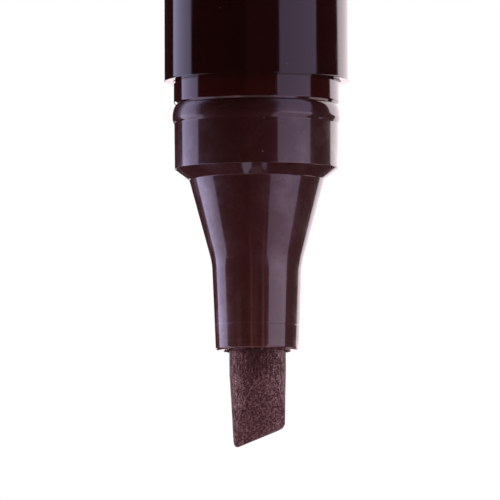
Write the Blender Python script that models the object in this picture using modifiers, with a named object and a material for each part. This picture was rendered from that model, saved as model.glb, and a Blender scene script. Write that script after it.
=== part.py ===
"""Chisel-tip permanent marker, standing on its posted cap with the nib up.

Units are metres and +Z is up. The origin is the middle of the cap's flat end, and every piece is
centred on the Z axis. The cap sits on the tail, as it does while the marker is in use, so the nib
is bare. The marker pulls straight up out of the cap.
"""

import math

import bmesh
import bpy
from mathutils import Matrix, Vector

# Fits between pieces
FACE_GAP = 0.0002          # flat faces that seat on each other
PRESS_GAP = 0.0001         # radial, pieces that are pressed together
LOOSE_GAP = 0.0002         # radial, pieces that only locate each other
SLIDE_GAP = 0.00013        # radial, the cap's snap ring on the tail
BITE = 0.0004              # how far a moulded-on rib or clip reaches into its wall

# Barrel
BARREL_DIAMETER = 0.0164
BARREL_WALL = 0.0012
BARREL_LENGTH = 0.086
BARREL_RIM_ROUND = 0.00012
BARREL_RIB_COUNT = 6
BARREL_RIB_WIDTH = 0.0008
BARREL_RIB_END_ROOM = 0.0015

# Front section, from the barrel's front rim towards the nib
SPIGOT_LENGTH = 0.010
SPIGOT_WALL = 0.00095
COLLAR_SEAT = 0.00038      # width of the shoulder that rests on the barrel's rim
COLLAR_LENGTH = 0.0018
GROOVE_DEPTH = 0.0005
GROOVE_WIDTH = 0.00015
BEAD_HEIGHT = 0.00012
BEAD_LENGTH = 0.00178
BEAD_TAPER = 0.00006       # how much the bead's radius drops towards the barrel
BEAD_RUN_OUT = 0.0004      # its short slope towards the nib
BEAD_EDGE = 0.00006        # the straight part of its face in the groove
CAP_SEAT_LENGTH = 0.00396
CAP_SEAT_TAPER = 0.00008   # how much the seat's radius drops along its length
CHAMFER_LENGTH = 0.00095
CHAMFER_ROUND = 0.0004
CONE_LENGTH = 0.00738
CONE_HALF_ANGLE = 15.2     # degrees
CONE_WALL = 0.00115
CONE_BLEND = 0.006
NOSE_LENGTH = 0.00767
NOSE_DRAFT = 2.4           # degrees
NOSE_WALL = 0.0008
NOSE_EDGE_ROUND = 0.00015
NOSE_LIP_LENGTH = 0.0010
FIN_COUNT = 6
FIN_WIDTH = 0.0006
FIN_HEIGHT = 0.00028       # how far a fin stands out of the nose bore
RESERVOIR_STOP = 0.0064    # from the barrel's front rim to the fins' rear edges

# Nib
NIB_DIAMETER = 0.0050
NIB_GAP = 0.00012          # radial, nib to the fins that grip it
NIB_EXPOSED = 0.00887      # from the nose end to the long corner, before that is rounded
NIB_FLAT_START = 0.00275   # from the nose end to where the chisel flats begin
NIB_EDGE_THICKNESS = 0.0009
NIB_EDGE_ROUND = 0.0002
NIB_SLANT = 23.6           # degrees, across the chisel edge
NIB_GRIND_TURN = 18.0      # degrees about the axis, from the flats to the slanted end
NIB_TAPER_START = 0.0022   # from the nose end to where the narrow sides begin to draw in
NIB_LONG_SIDE_TAPER = 3.8  # degrees
NIB_SHORT_SIDE_TAPER = 1.7
NIB_LONG_CORNER_ROUND = 0.00025
NIB_SHORT_CORNER_ROUND = 0.0009
NIB_INSERTION = 0.006      # how far its rear end reaches into the ink reservoir
NIB_REAR_TAPER = 0.0007

# Ink reservoir and what lies beside it
WRAP_THICKNESS = 0.00025
NIB_SOCKET_GAP = 0.0003
RESERVOIR_EDGE_ROUND = 0.0004
BREATHER_GAP = 0.000175    # radial, to the reservoir and to the barrel
BREATHER_WALL = 0.0002
BREATHER_END_ROOM = 0.001

# Tail plug
TAIL_SPIGOT_LENGTH = 0.009
TAIL_WALL = 0.0011
TAIL_EASE = 0.00006        # how much slimmer the tail is than the front collar
TAIL_EDGE_ROUND = 0.0008
TAIL_FIN_WIDTH = 0.0009
TAIL_FIN_SETBACK = 0.003   # the reservoir's rear end sits this far inside the plug

# Cap
CAP_WALL = 0.00062         # at the mouth
CAP_BORE_GAP = 0.00008     # radial, over the front section's snap bead
CAP_CROWN = 0.0014
CAP_CROWN_ROUND = 0.0005
CAP_DRAFT = 0.0001         # how much the outside drops from mouth to crown
CAP_NIB_ROOM = 0.0032      # free length ahead of the nib when the cap is closed
CAP_MOUTH_LEAD = 0.00015
SNAP_SETBACK = 0.0017
SNAP_LENGTH = 0.0007
LINER_SEAL_DIAMETER = 0.0098
LINER_WALL = 0.0009
LINER_FLANGE = 0.0010
LINER_LEDGE = 0.00035      # width of the cap's step that carries the liner's flange
LINER_LIP_LEAD = 0.0003
TAIL_END_GAP = 0.0014      # from the posted tail to the liner
CLIP_WIDTH = 0.0046
CLIP_THICKNESS = 0.0011
CLIP_GAP = 0.0011
CLIP_TIP_GAP = 0.0003
CLIP_LENGTH = 0.0300
CLIP_ROOT_LENGTH = 0.0046
CLIP_ROOT_SETBACK = 0.0026
CLIP_TIP_LENGTH = 0.0046

# Facets
ROUND_STEPS = 48
SMALL_STEPS = 16
ARC_PIECES = 3
MERGE = 1e-6

# Finishes, each a colour and a roughness
BLACK_PLASTIC = ((0.010, 0.0035, 0.0035), 0.12)
SECTION_PLASTIC = ((0.022, 0.0075, 0.0080), 0.15)
NIB_FIBRE = ((0.080, 0.036, 0.042), 0.85)
INK_FIBRE = ((0.012, 0.009, 0.012), 0.9)
PALE_FILM = ((0.75, 0.76, 0.78), 0.25)
PALE_PLASTIC = ((0.78, 0.78, 0.76), 0.35)

# Sizes that follow
barrel_r = BARREL_DIAMETER / 2
bore_r = barrel_r - BARREL_WALL
spigot_r = bore_r - PRESS_GAP
spigot_bore_r = spigot_r - SPIGOT_WALL
collar_r = bore_r + COLLAR_SEAT
seat_end_r = collar_r - CAP_SEAT_TAPER
bead_r = collar_r + BEAD_HEIGHT
bead_rear_r = bead_r - BEAD_TAPER
groove_r = collar_r - GROOVE_DEPTH
nib_r = NIB_DIAMETER / 2
fin_r = nib_r + NIB_GAP
nose_bore_r = fin_r + FIN_HEIGHT
nose_end_r = nose_bore_r + NOSE_WALL
nose_start_r = nose_end_r + NOSE_LENGTH * math.tan(math.radians(NOSE_DRAFT))
cone_slope = math.tan(math.radians(CONE_HALF_ANGLE))
cone_start_r = nose_start_r + CONE_LENGTH * cone_slope
cone_bore_r = cone_start_r - CONE_WALL
wrap_r = spigot_bore_r - LOOSE_GAP
wrap_bore_r = wrap_r - WRAP_THICKNESS
core_r = wrap_bore_r - PRESS_GAP
tail_r = collar_r - TAIL_EASE

# Heights on the front section, above the barrel's front rim
collar_end = FACE_GAP + COLLAR_LENGTH
bead_start = collar_end + GROOVE_WIDTH
bead_end = bead_start + BEAD_LENGTH
seat_end = bead_end + CAP_SEAT_LENGTH
cone_start = seat_end + CHAMFER_LENGTH
nose_start = cone_start + CONE_LENGTH
nose_end = nose_start + NOSE_LENGTH
nib_tip = nose_end + NIB_EXPOSED
reservoir_front = RESERVOIR_STOP - FACE_GAP
nib_rear = reservoir_front - NIB_INSERTION

# The cap, whose length follows what it covers when it is closed over the nib
liner_bore_r = LINER_SEAL_DIAMETER / 2
liner_depth = cone_start + (cone_start_r - liner_bore_r) / cone_slope
cap_length = nib_tip + CAP_NIB_ROOM + LINER_WALL + FACE_GAP + CAP_CROWN
cap_bore_r = bead_r + CAP_BORE_GAP
cap_r = cap_bore_r + CAP_WALL
cap_crown_r = cap_r - CAP_DRAFT
snap_r = tail_r + SLIDE_GAP
flange_r = cap_bore_r - PRESS_GAP
cap_deep_bore_r = flange_r - LINER_LEDGE
liner_top = cap_length - liner_depth
ledge_top = liner_top - LINER_FLANGE - FACE_GAP
liner_bottom = CAP_CROWN + FACE_GAP

# Heights of the rest, above the cap's flat end
barrel_rear = cap_length + FACE_GAP
barrel_front = barrel_rear + BARREL_LENGTH
tail_length = liner_depth - TAIL_END_GAP
tail_fin_top = TAIL_SPIGOT_LENGTH - TAIL_FIN_SETBACK


def clear_scene():
    for old in list(bpy.data.objects):
        bpy.data.objects.remove(old, do_unlink=True)


def new_collection(name):
    made = bpy.data.collections.new(name)
    bpy.context.scene.collection.children.link(made)
    return made


def finish(obj, colour, roughness):
    """Gives a piece its own material."""
    made = bpy.data.materials.new(obj.name + "_finish")
    made.use_nodes = True
    shader = made.node_tree.nodes["Principled BSDF"]
    shader.inputs["Base Color"].default_value = (*colour, 1.0)
    shader.inputs["Roughness"].default_value = roughness
    shader.inputs["Metallic"].default_value = 0.0
    obj.data.materials.append(made)


def rounded(corners, closed):
    """Points of an outline whose corners are (x, y) or, with a fillet radius, (x, y, radius)."""
    points = []
    for i, corner in enumerate(corners):
        here = Vector(corner[:2])
        radius = corner[2] if len(corner) > 2 else 0.0
        inner = closed or 0 < i < len(corners) - 1
        if radius <= 0.0 or not inner:
            points.append(here)
            continue
        to_last = (Vector(corners[i - 1][:2]) - here).normalized()
        to_next = (Vector(corners[(i + 1) % len(corners)][:2]) - here).normalized()
        half = to_last.angle(to_next) / 2
        centre = here + (to_last + to_next).normalized() * (radius / math.sin(half))
        first = here + to_last * (radius / math.tan(half)) - centre
        last = here + to_next * (radius / math.tan(half)) - centre
        turn = first.angle_signed(last)
        for step in range(ARC_PIECES + 1):
            spin = Matrix.Rotation(-turn * step / ARC_PIECES, 2)
            points.append(centre + spin @ first)
    return points


def place(obj, parent, height, look):
    obj.parent = parent
    obj.location.z = height
    finish(obj, *look)


def turned(name, corners, closed=True, steps=ROUND_STEPS):
    """A piece turned about Z. The outline runs down its outer side, and an open one ends on the axis."""
    points = rounded(corners, closed)
    edges = [(i, i + 1) for i in range(len(points) - 1)]
    if closed:
        edges.append((len(points) - 1, 0))
    mesh = bpy.data.meshes.new(name)
    mesh.from_pydata([(p.x, 0.0, p.y) for p in points], edges, [])
    obj = bpy.data.objects.new(name, mesh)
    parts.objects.link(obj)
    screw = obj.modifiers.new("Turn", "SCREW")
    screw.axis = "Z"
    screw.steps = steps
    screw.render_steps = steps
    screw.use_merge_vertices = True
    screw.merge_threshold = MERGE
    screw.use_smooth_shade = True
    return obj


def plate(name, corners, thickness, angle=0.0):
    """A flat helper in the plane of the axis: x is radial, y is height, turned about Z by angle."""
    curve = bpy.data.curves.new(name, "CURVE")
    curve.dimensions = "2D"
    curve.fill_mode = "BOTH"
    curve.extrude = thickness / 2
    points = rounded(corners, closed=True)
    spline = curve.splines.new("POLY")
    spline.points.add(len(points) - 1)
    for knot, point in zip(spline.points, points):
        knot.co = (point.x, point.y, 0.0, 1.0)
    spline.use_cyclic_u = True
    drawn = bpy.data.objects.new(name + "_outline", curve)
    helpers.objects.link(drawn)
    bpy.context.view_layer.update()
    graph = bpy.context.evaluated_depsgraph_get()
    mesh = bpy.data.meshes.new_from_object(drawn.evaluated_get(graph))
    bpy.data.objects.remove(drawn, do_unlink=True)
    welded = bmesh.new()
    welded.from_mesh(mesh)
    bmesh.ops.remove_doubles(welded, verts=welded.verts, dist=MERGE)
    bmesh.ops.recalc_face_normals(welded, faces=welded.faces)
    welded.to_mesh(mesh)
    welded.free()
    obj = bpy.data.objects.new(name, mesh)
    helpers.objects.link(obj)
    obj.rotation_euler = (math.radians(90), 0.0, angle)
    obj.hide_render = True
    obj.display_type = "WIRE"
    return obj


def combine(obj, helper, operation):
    """Joins a helper to a piece, or cuts the piece with it."""
    helper.parent = obj.parent
    helper.location.z = obj.location.z
    boolean = obj.modifiers.new(helper.name, "BOOLEAN")
    boolean.operation = operation
    boolean.object = helper
    boolean.solver = "EXACT"


def add_fins(obj, name, corners, width, count):
    """Joins equal radial fins to a piece."""
    for i in range(count):
        fin = plate(f"{name}_{i + 1}", corners, width, angle=i * math.tau / count)
        combine(obj, fin, "UNION")


def make_barrel():
    """A straight tube, open at both ends, with ribs that keep the reservoir off its wall."""
    obj = turned("barrel", [
        (bore_r, BARREL_LENGTH),
        (barrel_r, BARREL_LENGTH, BARREL_RIM_ROUND),
        (barrel_r, 0.0, BARREL_RIM_ROUND),
        (bore_r, 0.0),
    ])
    place(obj, pen, barrel_rear, BLACK_PLASTIC)
    rib_start = TAIL_SPIGOT_LENGTH + BARREL_RIB_END_ROOM
    rib_end = BARREL_LENGTH - SPIGOT_LENGTH - BARREL_RIB_END_ROOM
    rib_r = wrap_r + LOOSE_GAP
    add_fins(obj, "barrel_rib", [
        (rib_r, rib_start),
        (bore_r + BITE, rib_start),
        (bore_r + BITE, rib_end),
        (rib_r, rib_end),
    ], BARREL_RIB_WIDTH, BARREL_RIB_COUNT)


def make_front_section():
    """The moulding pressed into the barrel's front: spigot, collar, snap bead, cap seat, cone and nose."""
    inner_cone_start = cone_start - CHAMFER_LENGTH / 2
    nose_bore_end = nose_end - NOSE_LIP_LENGTH
    obj = turned("front_section", [
        (fin_r, nose_end),
        (nose_end_r, nose_end, NOSE_EDGE_ROUND),
        (nose_start_r, nose_start, CONE_BLEND),
        (cone_start_r, cone_start, CHAMFER_ROUND),
        (seat_end_r, seat_end),
        (collar_r, bead_end),
        (bead_r, bead_end - BEAD_RUN_OUT),
        (bead_rear_r, bead_start, bead_rear_r - groove_r - BEAD_EDGE),
        (groove_r, bead_start),
        (groove_r, collar_end),
        (collar_r, collar_end),
        (collar_r, FACE_GAP),
        (spigot_r, FACE_GAP),
        (spigot_r, -SPIGOT_LENGTH),
        (spigot_bore_r, -SPIGOT_LENGTH),
        (spigot_bore_r, seat_end - CHAMFER_LENGTH / 2),
        (cone_bore_r, inner_cone_start),
        (nose_bore_r, nose_start),
        (nose_bore_r, nose_bore_end),
        (fin_r, nose_bore_end + FIN_HEIGHT),
    ])
    place(obj, pen, barrel_front, SECTION_PLASTIC)
    add_fins(obj, "nib_fin", [
        (fin_r, RESERVOIR_STOP),
        (spigot_bore_r + BITE, RESERVOIR_STOP),
        (spigot_bore_r + BITE, seat_end - CHAMFER_LENGTH / 2),
        (cone_bore_r + BITE, inner_cone_start),
        (nose_bore_r + BITE, nose_start),
        (nose_bore_r + BITE, nose_bore_end),
        (fin_r, nose_bore_end),
    ], FIN_WIDTH, FIN_COUNT)


def make_nib():
    """A rod of bonded fibre, ground to a slanted chisel: the rod within a side outline and a wedge."""
    obj = turned("nib", [
        (0.0, nib_tip + nib_r),
        (nib_r, nib_tip + nib_r),
        (nib_r, nib_rear + NIB_REAR_TAPER),
        (nib_r - NIB_REAR_TAPER, nib_rear),
        (0.0, nib_rear),
    ], closed=False)
    place(obj, pen, barrel_front, NIB_FIBRE)
    below = nib_rear - nib_r
    beside = 2 * nib_r
    flat_start = nose_end + NIB_FLAT_START
    taper_start = nose_end + NIB_TAPER_START
    slant = math.tan(math.radians(NIB_SLANT))
    long_side = nib_r - (nib_tip - taper_start) * math.tan(math.radians(NIB_LONG_SIDE_TAPER))
    short_end = nib_tip - NIB_DIAMETER * slant
    short_side = nib_r - (short_end - taper_start) * math.tan(math.radians(NIB_SHORT_SIDE_TAPER))
    side = plate("nib_side_outline", [
        (long_side, nib_tip, NIB_LONG_CORNER_ROUND),
        (-short_side, nib_tip - (short_side + long_side) * slant, NIB_SHORT_CORNER_ROUND),
        (-nib_r, taper_start),
        (-beside, taper_start),
        (-beside, below),
        (beside, below),
        (beside, taper_start),
        (nib_r, taper_start),
    ], 4 * nib_r, angle=math.radians(NIB_GRIND_TURN))
    combine(obj, side, "INTERSECT")
    half_edge = NIB_EDGE_THICKNESS / 2
    wedge = plate("nib_wedge_outline", [
        (half_edge, nib_tip, NIB_EDGE_ROUND),
        (-half_edge, nib_tip, NIB_EDGE_ROUND),
        (-nib_r, flat_start),
        (-beside, flat_start),
        (-beside, below),
        (beside, below),
        (beside, flat_start),
        (nib_r, flat_start),
    ], 4 * nib_r, angle=math.radians(90))
    combine(obj, wedge, "INTERSECT")


def make_reservoir():
    """The ink-soaked fibre rod, its film wrap, and the breather tube that lets air past it."""
    rear = barrel_rear + tail_fin_top + FACE_GAP
    front = barrel_front + reservoir_front
    length = front - rear
    socket_r = nib_r + NIB_SOCKET_GAP
    socket_floor = length - NIB_INSERTION - NIB_SOCKET_GAP
    core = turned("ink_reservoir", [
        (0.0, socket_floor),
        (socket_r, socket_floor),
        (socket_r, length),
        (core_r, length, RESERVOIR_EDGE_ROUND),
        (core_r, 0.0, RESERVOIR_EDGE_ROUND),
        (0.0, 0.0),
    ], closed=False)
    place(core, pen, rear, INK_FIBRE)
    wrap = turned("reservoir_wrap", [
        (wrap_bore_r, length),
        (wrap_r, length),
        (wrap_r, 0.0),
        (wrap_bore_r, 0.0),
    ])
    place(wrap, pen, rear, PALE_FILM)
    tube_r = (bore_r - wrap_r) / 2 - BREATHER_GAP
    tube_start = TAIL_SPIGOT_LENGTH + BREATHER_END_ROOM
    tube_length = BARREL_LENGTH - SPIGOT_LENGTH - BREATHER_END_ROOM - tube_start
    tube = turned("breather_tube", [
        (tube_r - BREATHER_WALL, tube_length),
        (tube_r, tube_length),
        (tube_r, 0.0),
        (tube_r - BREATHER_WALL, 0.0),
    ], steps=SMALL_STEPS)
    place(tube, pen, barrel_rear + tube_start, PALE_PLASTIC)
    between_ribs = math.pi / BARREL_RIB_COUNT
    tube.location.x = (bore_r + wrap_r) / 2 * math.cos(between_ribs)
    tube.location.y = (bore_r + wrap_r) / 2 * math.sin(between_ribs)


def make_tail_plug():
    """The cup pressed into the barrel's rear. Its outer half takes the posted cap."""
    floor = -tail_length + TAIL_WALL
    inner_r = spigot_r - SPIGOT_WALL
    obj = turned("tail_plug", [
        (0.0, floor),
        (inner_r, floor),
        (inner_r, TAIL_SPIGOT_LENGTH),
        (spigot_r, TAIL_SPIGOT_LENGTH),
        (spigot_r, -FACE_GAP),
        (tail_r, -FACE_GAP),
        (tail_r, -tail_length, TAIL_EDGE_ROUND),
        (0.0, -tail_length),
    ], closed=False)
    place(obj, pen, barrel_rear, BLACK_PLASTIC)
    for name, angle in (("tail_fin_1", 0.0), ("tail_fin_2", math.radians(90))):
        fin = plate(name, [
            (-inner_r - BITE, floor - BITE),
            (inner_r + BITE, floor - BITE),
            (inner_r + BITE, tail_fin_top),
            (-inner_r - BITE, tail_fin_top),
        ], TAIL_FIN_WIDTH, angle)
        combine(obj, fin, "UNION")


def make_cap_shell():
    """The outer cap with its moulded clip. A ring inside the mouth snaps over the section's bead."""
    snap_top = cap_length - SNAP_SETBACK
    snap_bottom = snap_top - SNAP_LENGTH
    snap_ramp = cap_bore_r - snap_r
    obj = turned("cap_shell", [
        (0.0, CAP_CROWN),
        (cap_deep_bore_r, CAP_CROWN),
        (cap_deep_bore_r, ledge_top),
        (cap_bore_r, ledge_top),
        (cap_bore_r, snap_bottom),
        (snap_r, snap_bottom + snap_ramp),
        (snap_r, snap_top - snap_ramp),
        (cap_bore_r, snap_top),
        (cap_bore_r, cap_length - CAP_MOUTH_LEAD),
        (cap_bore_r + CAP_MOUTH_LEAD, cap_length),
        (cap_r, cap_length, BARREL_RIM_ROUND),
        (cap_crown_r, 0.0, CAP_CROWN_ROUND),
        (0.0, 0.0),
    ], closed=False)
    place(obj, cap, 0.0, BLACK_PLASTIC)
    root_r = cap_crown_r - BITE
    inside = cap_r + CLIP_GAP
    outside = inside + CLIP_THICKNESS
    root_top = CLIP_ROOT_SETBACK + CLIP_ROOT_LENGTH
    tip_top = CLIP_ROOT_SETBACK + CLIP_LENGTH
    bump = cap_r + CLIP_TIP_GAP
    clip = plate("clip", [
        (root_r, CLIP_ROOT_SETBACK),
        (outside, CLIP_ROOT_SETBACK, CLIP_ROOT_LENGTH / 2),
        (outside, tip_top, CLIP_THICKNESS / 2),
        (inside, tip_top, CLIP_THICKNESS / 4),
        (bump, tip_top - CLIP_TIP_LENGTH / 2, CLIP_THICKNESS),
        (inside, tip_top - CLIP_TIP_LENGTH, CLIP_THICKNESS),
        (inside, root_top, CLIP_GAP / 2),
        (root_r, root_top),
    ], CLIP_WIDTH)
    combine(obj, clip, "UNION")


def make_cap_liner():
    """The inner cup that seals on the cone and keeps the closed nib from drying."""
    obj = turned("cap_liner", [
        (0.0, liner_bottom + LINER_WALL),
        (liner_bore_r, liner_bottom + LINER_WALL),
        (liner_bore_r, liner_top - LINER_LIP_LEAD),
        (liner_bore_r + LINER_LIP_LEAD, liner_top),
        (flange_r, liner_top),
        (flange_r, liner_top - LINER_FLANGE),
        (liner_bore_r + LINER_WALL, liner_top - LINER_FLANGE),
        (liner_bore_r + LINER_WALL, liner_bottom),
        (0.0, liner_bottom),
    ], closed=False)
    place(obj, cap, 0.0, PALE_PLASTIC)


clear_scene()
parts = new_collection("permanent_marker")
helpers = new_collection("cutters_and_fins")

cap = bpy.data.objects.new("cap", None)
pen = bpy.data.objects.new("pen", None)
for empty in (cap, pen):
    parts.objects.link(empty)

make_barrel()
make_front_section()
make_nib()
make_reservoir()
make_tail_plug()
make_cap_shell()
make_cap_liner()
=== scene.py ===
"""Looks of a chisel-tip permanent marker that stands nib up on its posted cap.

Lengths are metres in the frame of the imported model: +Z runs from the cap's flat end to the nib.
"""
import math

import bpy
from mathutils import Matrix, Quaternion, Vector


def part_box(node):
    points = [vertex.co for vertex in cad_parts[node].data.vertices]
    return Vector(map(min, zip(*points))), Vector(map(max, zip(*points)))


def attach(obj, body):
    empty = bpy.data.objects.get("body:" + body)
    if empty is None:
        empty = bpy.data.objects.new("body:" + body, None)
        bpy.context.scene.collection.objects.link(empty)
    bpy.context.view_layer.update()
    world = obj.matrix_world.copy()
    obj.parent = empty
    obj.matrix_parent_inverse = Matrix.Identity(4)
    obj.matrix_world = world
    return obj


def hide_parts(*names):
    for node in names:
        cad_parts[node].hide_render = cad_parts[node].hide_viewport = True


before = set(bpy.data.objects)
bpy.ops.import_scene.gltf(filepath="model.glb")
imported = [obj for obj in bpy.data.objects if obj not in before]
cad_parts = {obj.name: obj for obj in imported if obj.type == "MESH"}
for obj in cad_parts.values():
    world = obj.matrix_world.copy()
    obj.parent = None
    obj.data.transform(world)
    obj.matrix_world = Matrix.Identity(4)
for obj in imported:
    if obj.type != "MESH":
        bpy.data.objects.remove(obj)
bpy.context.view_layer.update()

# Camera
# It looks at the front section from a little above the rim, through a long lens, and is rolled by
# half a turn because the marker is pictured with its nib down.
PHOTO_SIZE = 500                # pixels
PIXEL = 0.0000887               # size of one of its pixels on the marker
FOCAL_PIXELS = 8500
SENSOR = 36.0                   # millimetres, as the lens is
VIEW_AZIMUTH = math.radians(18.0)
VIEW_ELEVATION = math.radians(4.4)
VIEW_ROLL = math.radians(179.85)
VIEW_HEIGHT = 0.01509           # of the picture's middle above the barrel's rim
VIEW_SHIFT = 0.00065            # of the picture's middle beside the axis
VIEW_NEAREST = 0.01             # nothing closer to the camera is drawn

barrel_low, barrel_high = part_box("barrel")
rim = barrel_high.z
upward = Vector((0.0, 0.0, 1.0))
to_camera = Vector((math.sin(VIEW_AZIMUTH), -math.cos(VIEW_AZIMUTH), 0.0))
to_right = Vector((-math.cos(VIEW_AZIMUTH), -math.sin(VIEW_AZIMUTH), 0.0))
back = to_camera * math.cos(VIEW_ELEVATION) + upward * math.sin(VIEW_ELEVATION)
looked_at = upward * (rim + VIEW_HEIGHT) - to_right * VIEW_SHIFT

bpy.ops.object.select_all(action="DESELECT")
bpy.ops.object.camera_add(location=looked_at + back * FOCAL_PIXELS * PIXEL)
camera = bpy.context.object
camera.rotation_mode = "QUATERNION"
roll = Quaternion((0, 0, 1), VIEW_ROLL)
camera.rotation_quaternion = (-back).to_track_quat("-Z", "Y") @ roll
camera.data.sensor_width = SENSOR
camera.data.lens = SENSOR * FOCAL_PIXELS / PHOTO_SIZE
camera.data.clip_start = VIEW_NEAREST
bpy.context.scene.camera = camera

# Barrel
# A straight tube of polished, brown-black moulded plastic, open at both ends. Six ribs inside keep
# the ink reservoir off its wall, and its front rim has a thin moulded lip.
AROUND = 192                    # facets of a turned piece
ARC_STEPS = 8                   # facets of a rounded corner
HOLD = 0.00006                  # rings this far from a corner keep the straight stretches straight
HELD_LENGTH = 4 * HOLD          # of the shortest stretch that has such rings
MERGE = 1e-7
SMOOTH_ANGLE = math.radians(35)
BARREL_WALL = 0.0012
BARREL_EDGE = 0.00012
BARREL_LIP = 0.00007            # how far the rim's lip stands out before its edge is rounded
BARREL_LIP_RISE = 0.00008       # how far it stands up
BARREL_LIP_LENGTH = 0.00009
BARREL_LIP_WIDTH = 0.00075
BARREL_LIP_EDGE = 0.00004
RIB_COUNT = 6
RIB_HEIGHT = 0.00105
RIB_WIDTH = 0.0009
RIB_START = 0.0105              # from the barrel's rear end
RIB_END = 0.0115                # from its rim
BARREL_COLOUR = (0.0062, 0.0007, 0.0006, 1.0)
BARREL_ROUGHNESS = 0.07
BARREL_GLOSS = 0.54


def rounded(corners):
    """Points along an outline of (radius, height) corners. A third number rounds a corner off."""
    points = []
    for i, corner in enumerate(corners):
        here = Vector(corner[:2])
        if len(corner) == 2:
            points.append(here)
            continue
        to_last = (Vector(corners[i - 1][:2]) - here).normalized()
        to_next = (Vector(corners[i + 1][:2]) - here).normalized()
        half = to_last.angle(to_next) / 2
        middle = here + (to_last + to_next).normalized() * corner[2] / math.sin(half)
        start = here + to_last * corner[2] / math.tan(half) - middle
        end = here + to_next * corner[2] / math.tan(half) - middle
        turn = start.angle_signed(end)
        for step in range(ARC_STEPS + 1):
            points.append(middle + Matrix.Rotation(-turn * step / ARC_STEPS, 2) @ start)
    held = points[:1]
    for last, here in zip(points, points[1:]):
        inward = (here - last).normalized() * HOLD
        if (here - last).length > HELD_LENGTH:
            held += [last + inward, here - inward]
        held.append(here)
    return held


def turned(name, corners, around=AROUND):
    """A piece turned about Z: a ring drawn along its outline and resized step by step."""
    (radius, height), *steps = rounded(corners)
    bpy.ops.object.select_all(action="DESELECT")
    bpy.ops.mesh.primitive_circle_add(vertices=around, radius=radius, location=(0.0, 0.0, height))
    piece = bpy.context.object
    piece.name = name
    bpy.ops.object.transform_apply(location=True, rotation=False, scale=False)
    bpy.ops.object.mode_set(mode="EDIT")
    bpy.ops.mesh.select_mode(type="VERT")
    bpy.ops.mesh.select_all(action="SELECT")
    for next_radius, next_height in steps:
        rise = (0.0, 0.0, next_height - height)
        bpy.ops.mesh.extrude_region_move(TRANSFORM_OT_translate={"value": rise})
        size = next_radius / radius
        bpy.ops.transform.resize(value=(size, size, 1.0), center_override=(0.0, 0.0, next_height))
        radius, height = next_radius, next_height
    bpy.ops.mesh.select_all(action="SELECT")
    bpy.ops.mesh.remove_doubles(threshold=MERGE)
    bpy.ops.mesh.fill_holes(sides=0)
    bpy.ops.mesh.normals_make_consistent(inside=False)
    bpy.ops.object.mode_set(mode="OBJECT")
    bpy.ops.object.shade_smooth_by_angle(angle=SMOOTH_ANGLE)
    return piece


def pick(piece, kind, wanted):
    """Goes into edit mode with only the wanted vertices, edges or faces of a piece selected."""
    bpy.ops.object.mode_set(mode="EDIT")
    bpy.ops.mesh.select_mode(type=kind)
    bpy.ops.mesh.select_all(action="DESELECT")
    bpy.ops.object.mode_set(mode="OBJECT")
    mesh = piece.data
    for part in {"VERT": mesh.vertices, "EDGE": mesh.edges, "FACE": mesh.polygons}[kind]:
        part.select = wanted(part)
    bpy.ops.object.mode_set(mode="EDIT")


def draw_out(piece, wanted, size):
    """Extrudes the wanted faces of a turned piece, to a size times their distance from the axis."""
    pick(piece, "FACE", wanted)
    bpy.ops.mesh.extrude_region_move()
    bpy.ops.transform.resize(value=(size, size, 1.0), center_override=(0.0, 0.0, 0.0))
    bpy.ops.object.mode_set(mode="OBJECT")


barrel_radius = barrel_high.x
barrel_rear = barrel_low.z
bore_radius = barrel_radius - BARREL_WALL
rib_start = barrel_rear + RIB_START
rib_end = rim - RIB_END
lip_top = rim + BARREL_LIP_RISE
barrel = turned("barrel_tube", [
    (bore_radius, rib_start),
    (bore_radius, barrel_rear, BARREL_EDGE),
    (barrel_radius, barrel_rear, BARREL_EDGE),
    (barrel_radius, lip_top - BARREL_LIP_LENGTH, BARREL_EDGE),
    (barrel_radius + BARREL_LIP, lip_top, BARREL_LIP_EDGE),
    (barrel_radius - BARREL_LIP_WIDTH, lip_top, BARREL_LIP_EDGE),
    (barrel_radius - BARREL_LIP_WIDTH, rim),
    (bore_radius, rim, BARREL_EDGE),
    (bore_radius, rib_end),
    (bore_radius, rib_start),
])


def on_rib(face):
    middle = face.center
    between = math.tau / RIB_COUNT
    turn = math.atan2(middle.y, middle.x) / between
    aside = abs(turn - round(turn)) * between * bore_radius
    inside = middle.xy.dot(face.normal.xy) < 0.0
    return inside and rib_start < middle.z < rib_end and aside < RIB_WIDTH / 2


draw_out(barrel, on_rib, (bore_radius - RIB_HEIGHT) / bore_radius)


def feed(tree, made, inputs):
    """Gives inputs of a node their values, or links other nodes' outputs to them."""
    for key, value in inputs.items():
        if isinstance(value, bpy.types.NodeSocket):
            tree.links.new(value, made.inputs[key])
        else:
            made.inputs[key].default_value = value


def node(tree, kind, settings=None, **inputs):
    """Adds a shader node. Each input is a value or another node's output."""
    made = tree.nodes.new("ShaderNode" + kind)
    for name, value in (settings or {}).items():
        setattr(made, name, value)
    feed(tree, made, {name.replace("_", " "): value for name, value in inputs.items()})
    return made


def sums(tree, operation, *values):
    """A Math node's output."""
    made = node(tree, "Math", {"operation": operation})
    feed(tree, made, dict(enumerate(values)))
    return made.outputs[0]


def portion(tree, value, low, high):
    """How far a value has come from a low mark to a high one, from 0 to 1."""
    return node(tree, "MapRange", Value=value, From_Min=low, From_Max=high).outputs["Result"]


def mixed(tree, amount, first, second):
    """A mix of two colours, each a value or another node's output."""
    made = node(tree, "Mix", {"data_type": "RGBA"}, Factor=amount)
    feed(tree, made, {6: first, 7: second})
    return made.outputs[2]


def placed(tree):
    """The place of each point on its piece."""
    return node(tree, "TexCoord").outputs["Object"]


def axes(tree):
    """The same place, along X, Y and Z."""
    return node(tree, "SeparateXYZ", Vector=placed(tree)).outputs


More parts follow.
